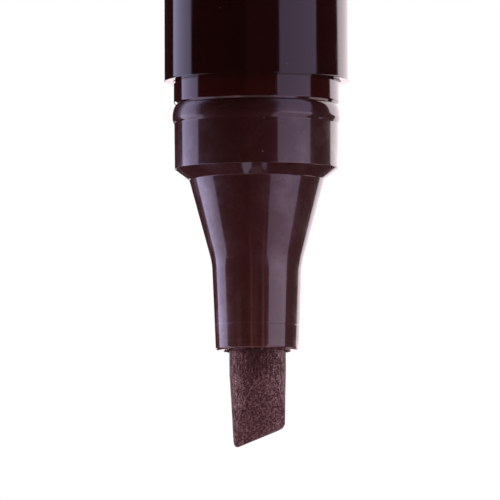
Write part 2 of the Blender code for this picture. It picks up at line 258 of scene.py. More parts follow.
def stretched(tree, place, scale, turn=(0.0, 0.0, 0.0)):
    """Places that draw a pattern out along an axis."""
    return node(tree, "Mapping", Vector=place, Rotation=turn, Scale=scale).outputs[0]


def noise(tree, place, scale=1.0, detail=2.0, grain=0.5):
    """A cloudy pattern. Its scale is the number of clouds to the metre."""
    made = node(tree, "TexNoise", Vector=place, Scale=scale, Detail=detail, Roughness=grain)
    return made.outputs["Fac"]


def new_group(name, inputs, outputs):
    """An empty node group with number inputs, given as name and value, and named number outputs."""
    group = bpy.data.node_groups.new(name, "ShaderNodeTree")
    for label, value in inputs.items():
        socket = group.interface.new_socket(label, in_out="INPUT", socket_type="NodeSocketFloat")
        socket.default_value = value
    for label in outputs:
        group.interface.new_socket(label, in_out="OUTPUT", socket_type="NodeSocketFloat")
    return group, group.nodes.new("NodeGroupInput"), group.nodes.new("NodeGroupOutput")


# Handled plastic: a polish that is a little uneven, with finger smears, hairlines, specks of dust
# and, where the mould was turned on a lathe, fine rings.
SMEAR_SCALE = 310.0
SMEAR_RANGE = (0.48, 0.72)      # of the noise, as HAIRLINE_RANGE is
FILM_EVERYWHERE = 0.4           # share of a film that lies all over
FILM_IN_SMEARS = 0.9            # share that the smears add to it
HAIRLINE_STRETCH = (9000.0, 260.0, 260.0)
HAIRLINE_TURN = (0.5, 0.9, 0.3)
HAIRLINE_RANGE = (0.70, 0.78)
HAIRLINE_DEPTH = 0.06           # as a share of the waves' height
WAVE_SCALE = 110.0
WAVE_HEIGHT = 0.000010
RING_STRETCH = (60.0, 60.0, 3600.0)
DUST_SCALE = 1100.0
DUST_RANGE = (0.062, 0.036)     # from a speck's edge to its middle
DUST_FREE = 0.70                # share of the cells that hold no speck
DUST_COLOUR = (0.17, 0.14, 0.17, 1.0)
HAZE = 0.36                     # roughness of a film of dried ink

handled, given, made = new_group(
    "handled_plastic",
    {"Roughness": 0.07, "Smear": 0.08, "Dust": 1.0, "Film": 0.0, "Rings": 0.0},
    ("Roughness", "Height", "Dust", "Film"))
place = placed(handled)
smear = portion(handled, noise(handled, place, SMEAR_SCALE, detail=4.0, grain=0.62), *SMEAR_RANGE)
patchy = sums(handled, "MULTIPLY_ADD", smear, FILM_IN_SMEARS, FILM_EVERYWHERE)
patchy = sums(handled, "MULTIPLY", patchy, given.outputs["Film"])
smear = sums(handled, "MULTIPLY", smear, given.outputs["Smear"])
uneven = sums(handled, "ADD", smear, given.outputs["Roughness"])

hairline = noise(handled, stretched(handled, place, HAIRLINE_STRETCH, HAIRLINE_TURN), detail=1.0)
hairline = portion(handled, hairline, *HAIRLINE_RANGE)
wave = noise(handled, place, WAVE_SCALE, detail=1.5, grain=0.4)
height = sums(handled, "MULTIPLY_ADD", hairline, -HAIRLINE_DEPTH, wave)
rings = noise(handled, stretched(handled, place, RING_STRETCH))
height = sums(handled, "MULTIPLY_ADD", rings, given.outputs["Rings"], height)

cells = node(handled, "TexVoronoi", Vector=place, Scale=DUST_SCALE)
chance = node(handled, "SeparateColor", Color=cells.outputs["Color"]).outputs["Red"]
few = sums(handled, "GREATER_THAN", chance, DUST_FREE)
speck = portion(handled, cells.outputs["Distance"], *DUST_RANGE)
speck = sums(handled, "MULTIPLY", speck, few)
speck = sums(handled, "MULTIPLY", speck, given.outputs["Dust"])
feed(handled, made, {"Roughness": uneven, "Height": height, "Dust": speck, "Film": patchy})


def new_material(name):
    """A material, its node tree and its shader."""
    material = bpy.data.materials.new(name)
    material.use_nodes = True
    return material, material.node_tree, material.node_tree.nodes["Principled BSDF"]


def plastic(name, colour, roughness, smear, dust=1.0, film=None, rings=0.0, gloss=0.5):
    """A gloss plastic with handling marks.

    Its colour and roughness are values, or functions that draw them. The film is a function that
    draws how thick dried ink lies on it.
    """
    material, tree, shader = new_material(name)
    if callable(roughness):
        roughness = roughness(tree)
    if callable(colour):
        colour = colour(tree)
    marks = node(tree, "Group", {"node_tree": handled}, Roughness=roughness, Smear=smear, Dust=dust,
                 Rings=rings)
    if dust:
        colour = mixed(tree, marks.outputs["Dust"], colour, DUST_COLOUR)
    bump = node(tree, "Bump", Strength=1.0, Distance=WAVE_HEIGHT, Height=marks.outputs["Height"])
    feed(tree, shader, {
        "Base Color": colour,
        "Roughness": marks.outputs["Roughness"],
        "Normal": bump.outputs["Normal"],
        "Specular IOR Level": gloss,
    })
    if film:
        feed(tree, marks, {"Film": film(tree)})
        feed(tree, shader, {"Coat Weight": marks.outputs["Film"], "Coat Roughness": HAZE})
    return material


barrel.data.materials.append(
    plastic("barrel_polish", BARREL_COLOUR, BARREL_ROUGHNESS, smear=0.05, gloss=BARREL_GLOSS))
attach(barrel, "marker")
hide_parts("barrel")

# Front section
# One moulding of the same plastic, pressed into the barrel by its spigot. A groove and a snap bead
# hold the closed cap. In front of the cap's seat a short chamfer leads into the cone and the nose,
# which grips the nib.
SPIGOT_WALL = 0.00095
SPIGOT_GAP = 0.0001
COLLAR_START = 0.00003          # heights above the barrel's rim, as far as NOSE_START
COLLAR_END = 0.00198
BEAD_START = 0.00220
BEAD_CREST = 0.00335
BEAD_END = 0.00387
SEAT_END = 0.00789
CONE_START = 0.00884
NOSE_START = 0.01622
BEAD_HEIGHT = 0.00012
BEAD_STEPS = 10
SHOULDER_START = math.radians(25)
COLLAR_ROUND = 0.00016
GROOVE_DEPTH = 0.00017
SEAT_STEP = 0.00004             # how much slimmer than the collar the seat is at the bead
SEAT_TAPER = 0.00008            # how much slimmer it is at its other end
CONE_SLOPE = math.tan(math.radians(15.2))
CONE_WALL = 0.00115
CONE_BLEND = 0.006
NOSE_ROUND = 0.00024
NOSE_LIP = 0.00013              # of the nose beyond its box
NOSE_SLOPE = math.tan(math.radians(2.4))
NOSE_RADIUS = 0.0037
NOSE_WALL = 0.0008
MOUTH_RADIUS = 0.00262
MOUTH_LENGTH = 0.0010
FLASH_RADIUS = 0.00292          # of the ragged skin of plastic that the mould left round the mouth
FLASH_HEIGHT = 0.00004
FLASH_RAGGED = 0.00014
FLASH_SEED = 4
SEAM_FROM_END = 0.0021          # the faint ring where two parts of the mould met
SEAM_WIDTH = 0.00005
SEAM_DEPTH = 0.000012
FINE_EDGE = 0.00008
SOFT_EDGE = 0.00015

section_low, section_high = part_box("front_section")
nose_end = section_high.z
nose_tip = nose_end + NOSE_LIP
bead_radius = section_high.x
collar_radius = bead_radius - BEAD_HEIGHT
groove_radius = collar_radius - GROOVE_DEPTH
spigot_radius = bore_radius - SPIGOT_GAP
spigot_bore = spigot_radius - SPIGOT_WALL
nose_bore = NOSE_RADIUS - NOSE_WALL
nose_start_radius = NOSE_RADIUS + (nose_end - rim - NOSE_START) * NOSE_SLOPE
cone_start_radius = nose_start_radius + (NOSE_START - CONE_START) * CONE_SLOPE
seam = nose_end - SEAM_FROM_END
seam_radius = NOSE_RADIUS + SEAM_FROM_END * NOSE_SLOPE
inner_cone_start = rim + (SEAT_END + CONE_START) / 2


def bead_outline():
    """An arc of an ellipse from the groove to the crest, and a round run-out to the seat."""
    crest = rim + BEAD_CREST
    depth = (bead_radius - groove_radius) / (1.0 - math.sin(SHOULDER_START))
    length = (BEAD_CREST - BEAD_START) / math.cos(SHOULDER_START)
    left = math.pi / 2 - SHOULDER_START
    outline = []
    for step in range(BEAD_STEPS + 1):
        turn = SHOULDER_START + left * step / BEAD_STEPS
        radius = bead_radius - depth * (1.0 - math.sin(turn))
        outline.append((radius, crest - length * math.cos(turn)))
    drop = BEAD_HEIGHT + SEAT_STEP
    run = BEAD_END - BEAD_CREST
    for step in range(1, BEAD_STEPS + 1):
        done = step / BEAD_STEPS
        outline.append((bead_radius - drop * done ** 2, crest + run * done))
    return outline


section = turned("front_moulding", [
    (spigot_bore, rim),
    (spigot_bore, section_low.z, FINE_EDGE),
    (spigot_radius, section_low.z, SOFT_EDGE),
    (spigot_radius, rim + COLLAR_START),
    (collar_radius, rim + COLLAR_START, COLLAR_START),
    (collar_radius, rim + COLLAR_END, COLLAR_ROUND),
    *bead_outline(),
    (collar_radius - SEAT_TAPER, rim + SEAT_END, FINE_EDGE),
    (cone_start_radius, rim + CONE_START, SOFT_EDGE),
    (nose_start_radius, rim + NOSE_START, CONE_BLEND),
    (seam_radius, seam - SEAM_WIDTH),
    (seam_radius - SEAM_DEPTH, seam),
    (seam_radius, seam + SEAM_WIDTH),
    (NOSE_RADIUS, nose_tip, NOSE_ROUND),
    (FLASH_RADIUS, nose_tip),
    (FLASH_RADIUS, nose_tip + FLASH_HEIGHT),
    (MOUTH_RADIUS, nose_tip + FLASH_HEIGHT),
    (MOUTH_RADIUS, nose_end - MOUTH_LENGTH + nose_bore - MOUTH_RADIUS),
    (nose_bore, nose_end - MOUTH_LENGTH),
    (nose_bore, rim + NOSE_START),
    (cone_start_radius - CONE_WALL, inner_cone_start),
    (spigot_bore, inner_cone_start - (CONE_START - SEAT_END)),
    (spigot_bore, rim),
])
pick(section, "VERT", lambda vertex: vertex.co.z > nose_tip + FLASH_HEIGHT / 2)
bpy.ops.transform.vertex_random(offset=FLASH_RAGGED, seed=FLASH_SEED)
bpy.ops.object.mode_set(mode="OBJECT")

# The brown is painted paler step by step towards the nose: painted light that makes the nose end
# brighter than the collar.
section_length = nose_end - rim
SECTION_BROWNS_AND_PAINTED_LIGHT = (
    (COLLAR_END, (0.0135, 0.0014, 0.0013, 1.0)),
    (BEAD_END, (0.0170, 0.0030, 0.0030, 1.0)),
    (SEAT_END, (0.0185, 0.0030, 0.0030, 1.0)),
    (NOSE_START, (0.0275, 0.0055, 0.0060, 1.0)),
    (section_length, (0.0330, 0.0070, 0.0068, 1.0)),
)
# A film of dried ink lies on all that the cap covers, and most of it at the mouth of the nose. The
# liner's lip has gathered it in three rings.
MOUTH_FILM = section_length - 0.0009
SECTION_FILM = (
    (BEAD_START, 0.0),
    (BEAD_CREST, 0.7),
    (BEAD_END, 0.6),
    (SEAT_END, 1.0),
    (NOSE_START, 0.8),
    (MOUTH_FILM, 0.7),
    (section_length, 1.2),
)
INK_RINGS = (                   # heights above the rim, and thicknesses
    (0.01590, 1.0),
    (section_length - SEAM_FROM_END, 1.8),
    (section_length - 0.00055, 1.1),
)
INK_RING_WIDTH = 0.00010
# The cap's snap ring has dulled the shoulder of the bead, most on the side of the clip.
BEAD_DULLED = (
    (COLLAR_END, 0.0),
    (BEAD_START, 0.22),
    (BEAD_CREST, 0.14),
    (BEAD_END, 0.0),
)
DULLED_RANGE = (-0.005, 0.002)  # along X
SECTION_ROUGHNESS = 0.065
SECTION_SMEAR = 0.05
SECTION_RINGS = 0.05
SECTION_GLOSS = 0.60
STREAK_COLOUR = (0.085, 0.026, 0.024, 1.0)
STREAK_STRETCH = (1500.0, 1500.0, 22.0)
STREAK_RANGE = (0.5, 0.85)
STREAK_SHARE = 0.7
STREAK_START = 0.0117           # above the rim
WELD_LINES = (math.radians(-64.0), math.radians(-79.5))
WELD_WIDTH = math.radians(2.6)


def ramp(tree, share, stops):
    """Colours along a scale from 0 to 1. The stops are pairs of a place on it and a colour."""
    made = node(tree, "ValToRGB", Fac=share)
    elements = made.color_ramp.elements
    while len(elements) < len(stops):
        elements.new(0.5)
    for element, (position, colour) in zip(elements, stops):
        element.position = position
        element.color = colour
    return made.outputs["Color"]


def along_section(tree, stops):
    """Colours that change along the section. The stops give heights above the rim."""
    share = portion(tree, axes(tree)["Z"], rim, nose_end)
    return ramp(tree, share, [(above_rim / section_length, colour) for above_rim, colour in stops])


def section_brown_and_painted_light(tree):
    """The brown, painted paler towards the nose as painted light, with paler streaks on the nose
    and weld lines where two flows met in the mould.
    """
    x, y, z = axes(tree)
    streak = noise(tree, stretched(tree, placed(tree), STREAK_STRETCH))
    streak = portion(tree, streak, *STREAK_RANGE)
    streak = sums(tree, "MULTIPLY", streak, STREAK_SHARE)
    turn = sums(tree, "ARCTAN2", y, x)
    for line in WELD_LINES:
        aside = sums(tree, "ABSOLUTE", sums(tree, "SUBTRACT", turn, line))
        streak = sums(tree, "MAXIMUM", streak, portion(tree, aside, WELD_WIDTH, 0.0))
    streak = sums(tree, "MULTIPLY", streak, portion(tree, z, rim + STREAK_START, nose_end))
    # The ramp along the section is painted light: paler towards the nose.
    return mixed(tree, streak, along_section(tree, SECTION_BROWNS_AND_PAINTED_LIGHT), STREAK_COLOUR)


def greys(stops):
    return [(above_rim, (weight, weight, weight, 1.0)) for above_rim, weight in stops]


def dulled_bead(tree):
    share = portion(tree, axes(tree)["X"], *DULLED_RANGE)
    dulled = along_section(tree, greys(BEAD_DULLED))
    return sums(tree, "MULTIPLY_ADD", dulled, share, SECTION_ROUGHNESS)


def dried_ink(tree):
    stops = list(SECTION_FILM)
    thin = dict(SECTION_FILM)[NOSE_START]
    for ring, thick in INK_RINGS:
        stops += [(ring - INK_RING_WIDTH, thin), (ring, thick), (ring + INK_RING_WIDTH, thin)]
    return along_section(tree, greys(sorted(stops)))


section.data.materials.append(
    plastic("section_polish", section_brown_and_painted_light, dulled_bead, SECTION_SMEAR, film=dried_ink,
            rings=SECTION_RINGS, gloss=SECTION_GLOSS))
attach(section, "marker")
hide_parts("front_section")

# Nib
# A rod of bonded fibre, soaked with ink. Its end is ground to a slanted chisel, and the narrow
# sides draw in towards it. The rear end is tapered and sits in the ink reservoir.
NIB_FLAT_START = 0.00275        # above the nose
NIB_TAPER_START = 0.0022
NIB_EXPOSED = 0.00887
NIB_EDGE = 0.00045              # half the thickness that the flats leave at the tip
NIB_SLANT = math.radians(23.6)
NIB_TURN = math.radians(18.0)
NIB_LONG_TAPER = math.radians(3.8)
NIB_SHORT_TAPER = math.radians(1.7)
NIB_LONG_ROUND = 0.00025
NIB_SHORT_ROUND = 0.0009
NIB_ROUND_CUTS = 6
NIB_REAR_TAPER = 0.0007
NIB_VOXEL = 0.000085
NIB_SMOOTHING = 0.5
NIB_SMOOTH_PASSES = 4
FACING = 0.9                    # a face whose normal has this much of an axis faces along it
FIBRE_STRETCH = 7.0
FIBRE_SIZE = 0.00016
FIBRE_DEPTH = 0.000035

nib_low, nib_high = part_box("nib")
nib_radius = (nib_high.y - nib_low.y) / 2
nib_tip = nose_end + NIB_EXPOSED
nib_length = nib_tip - nib_low.z
nib_middle = nib_tip - nib_length / 2
bpy.ops.object.select_all(action="DESELECT")
bpy.ops.mesh.primitive_cylinder_add(
    vertices=AROUND, radius=nib_radius, depth=nib_length, location=(0.0, 0.0, nib_middle))
nib = bpy.context.object
nib.name = "nib_fibre_rod"
bpy.ops.object.transform_apply(location=True, rotation=False, scale=False)
pick(nib, "FACE", lambda face: face.normal.z < -FACING)
bpy.ops.mesh.bevel(offset=NIB_REAR_TAPER, segments=1)
across = Vector((math.cos(NIB_TURN), math.sin(NIB_TURN), 0.0))


def grind(point, normal):
    """Takes off what lies beyond a plane and closes the cut."""
    bpy.ops.mesh.select_all(action="SELECT")
    bpy.ops.mesh.bisect(plane_co=point, plane_no=normal, use_fill=True, clear_outer=True)


def grind_side(side, height, angle):
    """Grinds a face at a place across the nib and in height, turned by an angle upwards."""
    grind(across * side + upward * height, across * math.cos(angle) + upward * math.sin(angle))


def grind_round(side, height, first, last, radius):
    """Rounds the corner where two such faces meet."""
    half = (last - first) / 2
    middle_side = side - math.cos(first + half) * radius / math.cos(half)
    middle_height = height - math.sin(first + half) * radius / math.cos(half)
    for cut in range(1, NIB_ROUND_CUTS + 1):
        angle = first + (last - first) * cut / (NIB_ROUND_CUTS + 1)
        grind_side(middle_side + radius * math.cos(angle), middle_height + radius * math.sin(angle),
                   angle)


taper_start = nose_end + NIB_TAPER_START
long_side = nib_radius - (nib_tip - taper_start) * math.tan(NIB_LONG_TAPER)
short_height = nib_tip - 2 * nib_radius * math.tan(NIB_SLANT)
short_side = nib_radius - (short_height - taper_start) * math.tan(NIB_SHORT_TAPER)
short_corner = nib_tip - (long_side + short_side) * math.tan(NIB_SLANT)
end_angle = math.pi / 2 + NIB_SLANT
short_angle = math.pi - NIB_SHORT_TAPER
grind_side(nib_radius, taper_start, NIB_LONG_TAPER)
grind_side(-nib_radius, taper_start, short_angle)
grind_side(long_side, nib_tip, end_angle)
grind_round(long_side, nib_tip, NIB_LONG_TAPER, end_angle, NIB_LONG_ROUND)
grind_round(-short_side, short_corner, end_angle, short_angle, NIB_SHORT_ROUND)
flat_start = nose_end + NIB_FLAT_START
for face in (-1.0, 1.0):
    start = Vector((0.0, face * nib_radius, flat_start))
    down_flat = Vector((0.0, face * NIB_EDGE, nib_tip)) - start
    grind(start, Vector((0.0, face * down_flat.z, -face * down_flat.y)).normalized())
bpy.ops.object.mode_set(mode="OBJECT")


def add_modifier(kind, **settings):
    """Gives the active piece a modifier and applies it."""
    bpy.ops.object.modifier_add(type=kind)
    modifier = bpy.context.object.modifiers[-1]
    for name, value in settings.items():
        setattr(modifier, name, value)
    bpy.ops.object.modifier_apply(modifier=modifier.name)


def take(piece):
    """Makes a piece the active one and the only one selected."""
    bpy.ops.object.select_all(action="DESELECT")
    bpy.context.view_layer.objects.active = piece
    piece.select_set(True)


def add_fibre_relief(piece, size, depth):
    """Raises the strands of a fibre rod, with a cloudy texture that is stretched along the rod."""
    strands = bpy.data.textures.new(piece.name + "_strands", "CLOUDS")
    strands.noise_scale = size
    bpy.ops.object.empty_add(location=(0.0, 0.0, 0.0))
    run = bpy.context.object
    run.scale.z = FIBRE_STRETCH
    take(piece)
    add_modifier("DISPLACE", texture=strands, texture_coords="OBJECT", texture_coords_object=run,
                 strength=depth, mid_level=0.5)
    bpy.data.objects.remove(run)


add_modifier("REMESH", mode="VOXEL", voxel_size=NIB_VOXEL)
add_modifier("SMOOTH", factor=NIB_SMOOTHING, iterations=NIB_SMOOTH_PASSES)
add_fibre_relief(nib, FIBRE_SIZE, FIBRE_DEPTH)
bpy.ops.object.shade_smooth()

# Bonded fibre: strands that run along Z, crumbs and glints of loose fibre, and slow blotches.
STRAND_SHARE = 0.43             # of the tone, as the other shares are
CRUMB_SHARE = 0.42
BLOTCH_SHARE = 0.1
BLOTCH_SCALE = 620.0
TONE_LIFT = 0.05
GLINT_SHARE = 0.03
GLINT_RANGE = (0.62, 0.74)
FIBRE_GLOSS = 0.10
FIBRE_SHEEN = 0.10
FIBRE_SHEEN_TINT = (1.0, 0.72, 0.76, 1.0)

bonded, given, made = new_group(
    "bonded_fibre", {"Across": 5200.0, "Along": 900.0, "Crumb": 8000.0}, ("Tone",))
place = placed(bonded)
scale = node(bonded, "CombineXYZ", X=given.outputs["Across"], Y=given.outputs["Across"],
             Z=given.outputs["Along"]).outputs[0]
strand = noise(bonded, stretched(bonded, place, scale), detail=3.0, grain=0.65)
crumb = noise(bonded, place, given.outputs["Crumb"], grain=0.6)
blotch = noise(bonded, place, BLOTCH_SCALE)
tone = sums(bonded, "MULTIPLY", strand, STRAND_SHARE)
tone = sums(bonded, "MULTIPLY_ADD", crumb, CRUMB_SHARE, tone)
tone = sums(bonded, "MULTIPLY_ADD", blotch, BLOTCH_SHARE, sums(bonded, "ADD", tone, TONE_LIFT))
glint = portion(bonded, noise(bonded, place, given.outputs["Crumb"], detail=0.0), *GLINT_RANGE)
feed(bonded, made, {"Tone": sums(bonded, "MULTIPLY_ADD", glint, GLINT_SHARE, tone)})


def fibre(name, grain, depth, roughness, tones, tone_changes=None):
    """A felted fibre finish. The grain holds the inputs of the fibre group.

    The tones are pairs of a place on the scale from dark to pale, and a colour. A function may
    change the tone in places, for wear and also to paint light and shade.
    """
    material, tree, shader = new_material(name)
    tone = node(tree, "Group", {"node_tree": bonded}, **grain).outputs["Tone"]
    if tone_changes:
        tone = tone_changes(tree, tone)
    bump = node(tree, "Bump", Strength=1.0, Distance=depth, Height=tone)
    feed(tree, shader, {
        "Base Color": ramp(tree, tone, tones),
        "Normal": bump.outputs["Normal"],
        "Roughness": roughness,
        "Specular IOR Level": FIBRE_GLOSS,
        "Sheen Weight": FIBRE_SHEEN,
        "Sheen Tint": FIBRE_SHEEN_TINT,
    })
    return material


NIB_TONES = (
    (0.43, (0.020, 0.0035, 0.0042, 1.0)),
    (0.52, (0.055, 0.0175, 0.0225, 1.0)),
    (0.62, (0.145, 0.071, 0.085, 1.0)),
    (0.76, (0.32, 0.20, 0.22, 1.0)),
)
NIB_GRAIN = {"Across": 7000.0, "Along": 1600.0, "Crumb": 9500.0}
NIB_GRAIN_DEPTH = 0.00003
NIB_ROUGHNESS = 0.75
FLAT_RUN_OUT = (-0.00013, -0.00002)     # heights over the plane of a flat between which it runs out
FLAT_GRAIN = 5500.0
FLAT_SHADE = 0.305
FLAT_CONTRAST = 0.44
FRAY_HIGHLIGHT = 0.24                # four times the painted highlight that the frayed edge of a flat gains
SIDE_HIGHLIGHT_START = 0.0005             # from here to the narrow sides the fibre has a painted highlight: paler, with brighter glints
SIDE_HIGHLIGHT_SHIFT = 0.0003
SIDE_HIGHLIGHT_OFFSET = -0.475
SIDE_HIGHLIGHT_CONTRAST = 1.0
# Painted shade: the middle of the nib near the nose is darker, with less contrast.
MIDDLE_SHADE_FULL = 0.0015            # above the nose
MIDDLE_SHADE_END = 0.0052
MIDDLE_SHADE_OFFSET = 0.117
MIDDLE_SHADE_CONTRAST = -0.3


def ground_nib_with_painted_light(tree, tone):
    """Paler on the ground flats, with painted highlights on their frayed edges and on the sides,
    and painted shade in the middle near the nose.
    """
    x, y, z = axes(tree)
    level = Vector((nib_radius - NIB_EDGE, nib_tip - flat_start)).normalized()
    reach = nib_radius * level.y + flat_start * level.x
    out = sums(tree, "MULTIPLY", sums(tree, "ABSOLUTE", y), level.y)
    out = sums(tree, "SUBTRACT", sums(tree, "MULTIPLY_ADD", z, level.x, out), reach)
    flat = portion(tree, out, *FLAT_RUN_OUT)
    off_flat = sums(tree, "SUBTRACT", 1.0, flat)
    # Painted highlight along the edge of each flat, where frayed fibre catches light.
    fray_highlight = sums(tree, "MULTIPLY", flat, off_flat)
    # Painted highlight on the narrow sides: paler fibre with brighter glints.
    aside = sums(tree, "MULTIPLY_ADD", x, across.x, -SIDE_HIGHLIGHT_SHIFT)
    aside = sums(tree, "ABSOLUTE", sums(tree, "MULTIPLY_ADD", y, across.y, aside))
    side = portion(tree, aside, SIDE_HIGHLIGHT_START, nib_radius)
    # Painted shade in the middle of the nib, near the nose.
    middle_shade = portion(tree, z, nose_end + MIDDLE_SHADE_END, nose_end + MIDDLE_SHADE_FULL)
    middle_shade = sums(tree, "MULTIPLY", middle_shade, sums(tree, "SUBTRACT", 1.0, side))
    middle_shade = sums(tree, "MULTIPLY", middle_shade, off_flat)
    ground = noise(tree, placed(tree), FLAT_GRAIN, detail=1.5, grain=0.6)
    ground = sums(tree, "MULTIPLY_ADD", ground, FLAT_CONTRAST, FLAT_SHADE)
    changes = (
        (flat, sums(tree, "SUBTRACT", ground, tone)),
        (fray_highlight, FRAY_HIGHLIGHT),
        (middle_shade, sums(tree, "MULTIPLY_ADD", tone, MIDDLE_SHADE_CONTRAST, MIDDLE_SHADE_OFFSET)),
        (side, sums(tree, "MULTIPLY_ADD", tone, SIDE_HIGHLIGHT_CONTRAST, SIDE_HIGHLIGHT_OFFSET)),
    )
    for mask, change in changes:
        tone = sums(tree, "MULTIPLY_ADD", mask, change, tone)
    return tone


nib.data.materials.append(
    fibre("nib_felt", NIB_GRAIN, NIB_GRAIN_DEPTH, NIB_ROUGHNESS, NIB_TONES, ground_nib_with_painted_light))
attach(nib, "marker")
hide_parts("nib")

# Ink reservoir
# A rod of bundled fibre, soaked with ink, that lies along the barrel. A socket in its front end
# takes the rear of the nib, and its rear end stands on the fins of the tail plug.
MIDDLE_DISC = 0.0005            # radius of the flat disc that closes a turned piece on its axis
SOCKET_GAP = 0.0003
RESERVOIR_ROUND = 0.0004
BUNDLE_SIZE = 0.0008
BUNDLE_DEPTH = 0.00012
RESERVOIR_GRAIN = {"Across": 2600.0, "Along": 90.0, "Crumb": 2400.0}
RESERVOIR_GRAIN_DEPTH = 0.00006
RESERVOIR_ROUGHNESS = 0.8
RESERVOIR_TONES = (
    (0.40, (0.004, 0.003, 0.005, 1.0)),
    (0.60, (0.012, 0.009, 0.012, 1.0)),
    (0.80, (0.035, 0.026, 0.034, 1.0)),
)

reservoir_low, reservoir_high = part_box("ink_reservoir")
reservoir_radius = reservoir_high.x - BUNDLE_DEPTH / 2
socket_radius = nib_radius + SOCKET_GAP
socket_floor = nib_low.z - SOCKET_GAP
reservoir = turned("ink_fibre_core", [
    (MIDDLE_DISC, socket_floor),
    (socket_radius, socket_floor, RESERVOIR_ROUND),
    (socket_radius, reservoir_high.z, RESERVOIR_ROUND),
    (reservoir_radius, reservoir_high.z, RESERVOIR_ROUND),
    (reservoir_radius, reservoir_low.z, RESERVOIR_ROUND),
    (MIDDLE_DISC, reservoir_low.z),
])
add_fibre_relief(reservoir, BUNDLE_SIZE, BUNDLE_DEPTH)
reservoir.data.materials.append(
    fibre("ink_soaked_fibre", RESERVOIR_GRAIN, RESERVOIR_GRAIN_DEPTH, RESERVOIR_ROUGHNESS,
          RESERVOIR_TONES))
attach(reservoir, "marker")
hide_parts("ink_reservoir")

# Reservoir wrap
# A sleeve of thin pale film, rolled round the fibre core and sealed along a lapped seam, which
# keeps the ink off the barrel. Ink has crept under it in places.
WRAP_THICKNESS = 0.00025
WRAP_EDGE = 0.00005
LAP_WIDTH = 0.0022
LAP_HEIGHT = 0.00008
LAP_TURN = math.radians(-70)
UPRIGHT = 0.1                   # a face whose normal has less of Z than this stands upright
FILM_COLOUR = (0.75, 0.76, 0.78, 1.0)
FILM_STAIN = (0.20, 0.16, 0.20, 1.0)
FILM_ROUGHNESS = 0.22
STAIN_SCALE = 160.0
STAIN_RANGE = (0.5, 0.75)


def sleeve(name, radius, wall, low, high, edge, around=AROUND):
    """A plain tube with rounded rims, turned from half-way up its bore."""
    bore = radius - wall
    middle = (low + high) / 2
    return turned(name, [
        (bore, middle),
        (bore, low, edge),
        (radius, low, edge),
        (radius, high, edge),
        (bore, high, edge),
        (bore, middle),
    ], around)


wrap_low, wrap_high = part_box("reservoir_wrap")
wrap_radius = wrap_high.x
wrap = sleeve("film_sleeve", wrap_radius, WRAP_THICKNESS, wrap_low.z, wrap_high.z, WRAP_EDGE)


def on_lap(face):
    middle = face.center
    outside = middle.xy.dot(face.normal.xy) > 0.0 and abs(face.normal.z) < UPRIGHT
    aside = math.remainder(math.atan2(middle.y, middle.x) - LAP_TURN, math.tau) * wrap_radius
    return outside and abs(aside) < LAP_WIDTH / 2


draw_out(wrap, on_lap, (wrap_radius + LAP_HEIGHT) / wrap_radius)


def stained_film(tree):
    creep = noise(tree, placed(tree), STAIN_SCALE, detail=5.0, grain=0.6)
    return mixed(tree, portion(tree, creep, *STAIN_RANGE), FILM_COLOUR, FILM_STAIN)


wrap.data.materials.append(
    plastic("wrap_film_stained", stained_film, FILM_ROUGHNESS, smear=0.10, dust=0.0))
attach(wrap, "marker")
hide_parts("reservoir_wrap")

# Breather tube
# A thin extruded tube of pale plastic that lies between two of the barrel's ribs and lets air past
# the reservoir.
TUBE_AROUND = 32
TUBE_WALL = 0.0002
TUBE_EDGE = 0.00004
TUBE_COLOUR = (0.74, 0.73, 0.70, 1.0)
TUBE_ROUGHNESS = 0.3

tube_low, tube_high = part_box("breather_tube")
tube_radius = (tube_high.x - tube_low.x) / 2
tube = sleeve("air_tube", tube_radius, TUBE_WALL, tube_low.z, tube_high.z, TUBE_EDGE, TUBE_AROUND)
bpy.ops.object.mode_set(mode="EDIT")
bpy.ops.mesh.select_all(action="SELECT")
tube_place = ((tube_low.x + tube_high.x) / 2, (tube_low.y + tube_high.y) / 2, 0.0)
bpy.ops.transform.translate(value=tube_place)
bpy.ops.object.mode_set(mode="OBJECT")
tube.data.materials.append(plastic("pale_tube", TUBE_COLOUR, TUBE_ROUGHNESS, smear=0.12, dust=0.0))
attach(tube, "marker")
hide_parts("breather_tube")

# Tail plug
# A moulded cup that is pressed into the barrel's rear. Two crossed fins in it carry the reservoir,
# and the posted cap sits on its outer half.
TAIL_WALL = 0.0011
TAIL_ROUND = 0.0008
TAIL_SHOULDER_GAP = 0.00003     # to the barrel's rear edge
TAIL_FIN_WIDTH = 0.0009
TAIL_FIN_GAP = 0.0002           # to the reservoir
TAIL_FIN_BITE = 0.0003          # into the wall and the floor
TAIL_FIN_EDGE_STEPS = 2
TAIL_ROUGHNESS = 0.10

tail_low, tail_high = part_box("tail_plug")
tail_radius = tail_high.x
tail_floor = tail_low.z + TAIL_WALL
tail_shoulder = barrel_rear - TAIL_SHOULDER_GAP
tail = turned("tail_cup", [
    (MIDDLE_DISC, tail_floor),
    (spigot_bore, tail_floor, SOFT_EDGE),
    (spigot_bore, tail_high.z, FINE_EDGE),
    (spigot_radius, tail_high.z, SOFT_EDGE),
    (spigot_radius, tail_shoulder),
    (tail_radius, tail_shoulder, FINE_EDGE),
    (tail_radius, tail_low.z, TAIL_ROUND),
    (MIDDLE_DISC, tail_low.z),
])
fin_bottom = tail_floor - TAIL_FIN_BITE
fin_top = reservoir_low.z - TAIL_FIN_GAP
fin_length = 2 * (spigot_bore + TAIL_FIN_BITE)


def block(name, low, high):
    """A box between two corners, as the only thing selected."""
    bpy.ops.object.select_all(action="DESELECT")
    low, high = Vector(low), Vector(high)
    bpy.ops.mesh.primitive_cube_add(size=1.0, location=(low + high) / 2, scale=high - low)
    piece = bpy.context.object
    piece.name = name
    bpy.ops.object.transform_apply(location=True, rotation=False, scale=True)
    return piece


